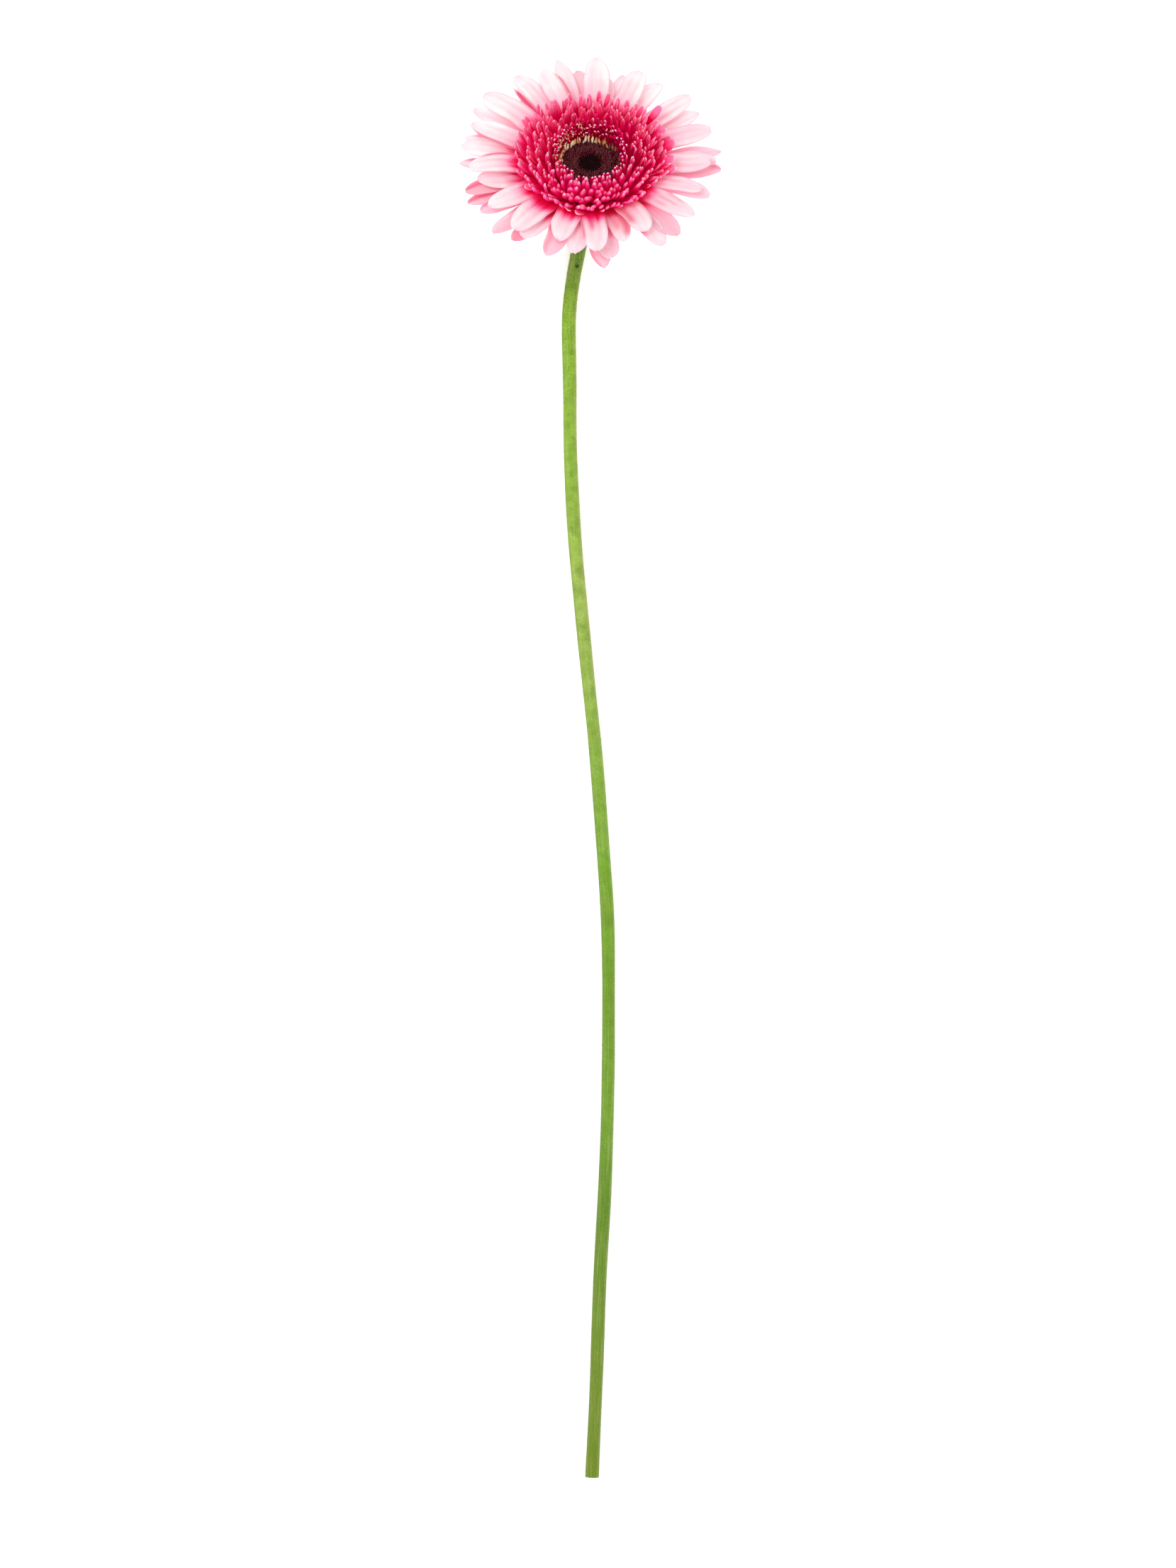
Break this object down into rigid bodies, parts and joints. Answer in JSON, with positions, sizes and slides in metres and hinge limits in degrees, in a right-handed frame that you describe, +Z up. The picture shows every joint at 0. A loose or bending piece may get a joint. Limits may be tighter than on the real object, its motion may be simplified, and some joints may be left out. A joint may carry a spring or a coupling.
{
  "type": "cut gerbera",
  "caption": "Cut gerbera lying on a surface: pale pink ray petals, a crimson collar of short petals, a dark eye and a long leafless stem.",
  "frame": {"origin": "on the surface that the flower lies on, under the middle of its box", "axes": "+Y along the stem towards the head, +Z up, +X to the right as seen with the head at the top"},
  "size_m": [0.1096, 0.6008, 0.0605],
  "materials": {
    "stem": "matte",
    "bract": "matte",
    "petal": "satin",
    "inner_petal": "satin",
    "disc_floret": "matte",
    "disc_bud": "matte"
  },
  "bodies": {
    "root": {"stem": "stem", "bracts_outer": "bract", "bracts_middle": "bract", "bracts_inner": "bract", "inner_petals_row_1": "inner_petal", "inner_petals_row_2": "inner_petal", "inner_petals_row_3": "inner_petal", "inner_petals_row_4": "inner_petal", "inner_petals_row_5": "inner_petal", "disc_florets_open": "disc_floret", "disc_florets_budding": "disc_floret", "disc_centre_buds": "disc_bud", "petal_01": "petal", "petal_02": "petal", "petal_03": "petal", "petal_04": "petal", "petal_05": "petal", "petal_06": "petal", "petal_07": "petal", "petal_08": "petal", "petal_09": "petal", "petal_10": "petal", "petal_11": "petal", "petal_12": "petal", "petal_13": "petal", "petal_14": "petal", "petal_15": "petal", "petal_16": "petal", "petal_17": "petal", "petal_18": "petal", "petal_19": "petal", "petal_20": "petal", "petal_21": "petal", "petal_22": "petal", "petal_23": "petal", "petal_24": "petal", "petal_25": "petal", "petal_26": "petal", "petal_27": "petal", "petal_28": "petal", "petal_29": "petal", "petal_30": "petal", "petal_31": "petal", "petal_32": "petal", "petal_33": "petal", "petal_34": "petal", "petal_35": "petal", "petal_36": "petal", "petal_37": "petal", "petal_38": "petal", "petal_39": "petal", "petal_40": "petal", "petal_41": "petal", "petal_42": "petal", "petal_43": "petal", "petal_44": "petal", "petal_45": "petal", "petal_46": "petal", "petal_47": "petal"}
  },
  "joints": []
}
